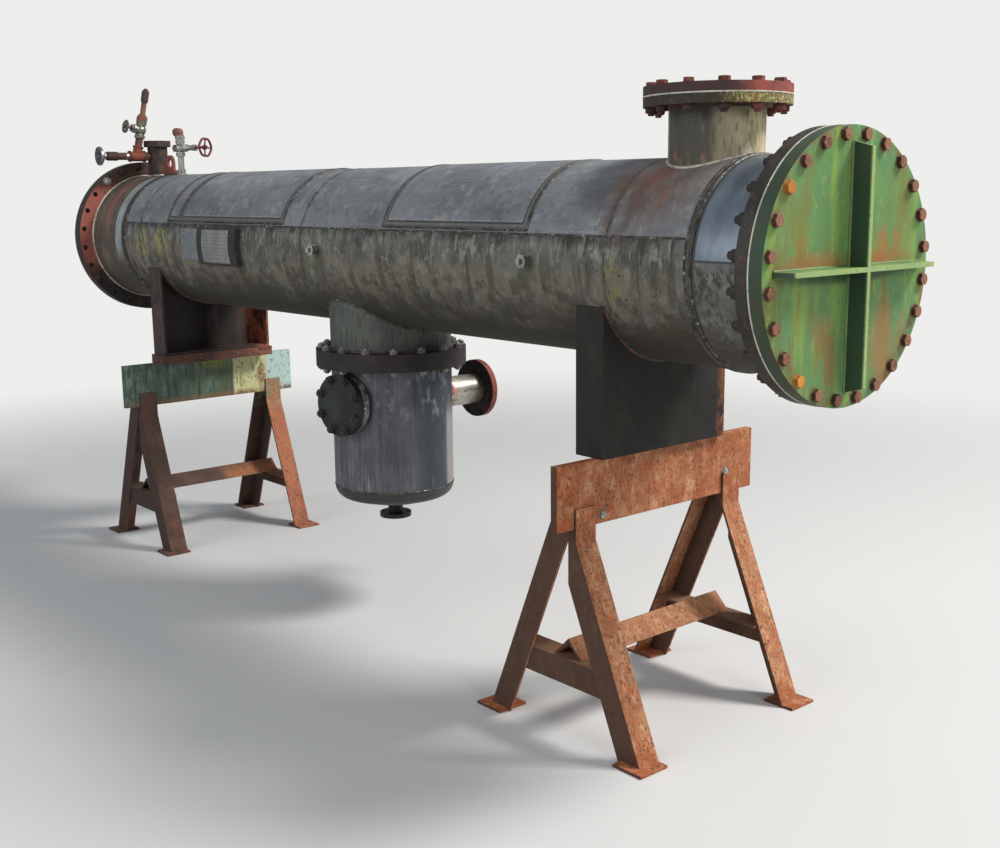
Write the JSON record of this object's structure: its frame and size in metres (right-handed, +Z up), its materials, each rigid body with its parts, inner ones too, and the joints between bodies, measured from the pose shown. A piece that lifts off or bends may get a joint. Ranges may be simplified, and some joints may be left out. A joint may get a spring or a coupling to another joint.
{
  "type": "shell and tube heat exchanger",
  "caption": "Horizontal shell-and-tube heat exchanger with a flanged hotwell below, bolted end covers, capped top nozzle and vent piping, on two steel trestles.",
  "frame": {"origin": "on the ground, under the middle of the overall length", "axes": "+X along the shell towards the ribbed cover, +Y towards the open side nozzle, +Z up"},
  "size_m": [3.972, 0.824, 1.9998],
  "materials": {
    "weathered_stainless": "dull, streaked with grime",
    "bright_stainless": "dull pickled",
    "green_paint": "worn, streaked with rust",
    "dark_flange_steel": "rusted dark",
    "dark_plate": "matt, weathered",
    "primer_red": "chalky primer",
    "rust_orange": "rusted through old paint",
    "rust_brown": "rusted brown",
    "beam_green": "flaking, with lichen",
    "nozzle_beige": "dull, weathered",
    "lichen_flange": "stained",
    "blind_red": "rusted red-brown",
    "gasket_white": "fibre sheet, dusty",
    "galvanised": "dull zinc",
    "valve_brass": "tarnished",
    "dial_dark": "matt",
    "wheel_red": "worn enamel",
    "wheel_grey": "worn enamel",
    "plate_bare": "dull, chalky"
  },
  "bodies": {
    "root": {"shell": "weathered_stainless", "near_tube_sheet": "weathered_stainless", "far_tube_sheet": "dark_flange_steel", "near_channel": "weathered_stainless", "far_channel": "weathered_stainless", "near_body_flange": "dark_flange_steel", "near_gasket": "gasket_white", "near_cover": "green_paint", "cover_ribs": "green_paint", "far_body_flange": "primer_red", "far_cover": "dark_flange_steel", "doubler_plates": "weathered_stainless", "top_nozzle_neck": "nozzle_beige", "top_nozzle_flange": "lichen_flange", "top_nozzle_gasket": "gasket_white", "top_nozzle_blind": "blind_red", "hotwell_neck": "nozzle_beige", "hotwell_upper_flange": "dark_flange_steel", "hotwell_lower_flange": "dark_flange_steel", "hotwell_drum": "weathered_stainless", "rear_nozzle_pipe": "bright_stainless", "rear_nozzle_flange": "rust_orange", "front_nozzle_neck": "dark_flange_steel", "front_nozzle_blind": "dark_plate", "drain_nozzle": "dark_flange_steel", "near_saddle": "dark_plate", "far_saddle": "rust_brown", "far_packing": "rust_brown", "near_trestle_beam": "rust_orange", "near_trestle_legs": "rust_orange", "near_trestle_braces": "rust_orange", "near_trestle_stretcher": "rust_orange", "far_trestle_beam": "beam_green", "far_trestle_legs": "rust_brown", "far_trestle_braces": "rust_brown", "far_trestle_stretcher": "rust_orange", "vent_neck": "dark_plate", "gauge_branch": "rust_brown", "dial_gauge": "dial_dark", "gauge_valve": "valve_brass", "vent_riser": "galvanised", "vent_valve": "galvanised", "lifting_lug": "primer_red", "side_couplings": "galvanised", "plate_bracket": "dark_plate", "data_plate": "plate_bare", "blank_plate": "plate_bare"},
    "gauge_wheel": {"gauge_handwheel": "wheel_grey"},
    "vent_wheel": {"vent_handwheel": "wheel_red"}
  },
  "joints": [
    {"name": "gauge_wheel_turn", "type": "hinge", "parent": "root", "child": "gauge_wheel", "pos_m": [-1.799, -0.07703, 1.81449], "axis": [0, -0.9781, 0.2079], "range_deg": [0, 1080]},
    {"name": "vent_wheel_turn", "type": "hinge", "parent": "root", "child": "vent_wheel", "pos_m": [-1.568, 0, 1.728], "axis": [0.9397, 0.342, 0], "range_deg": [0, 1080]}
  ]
}
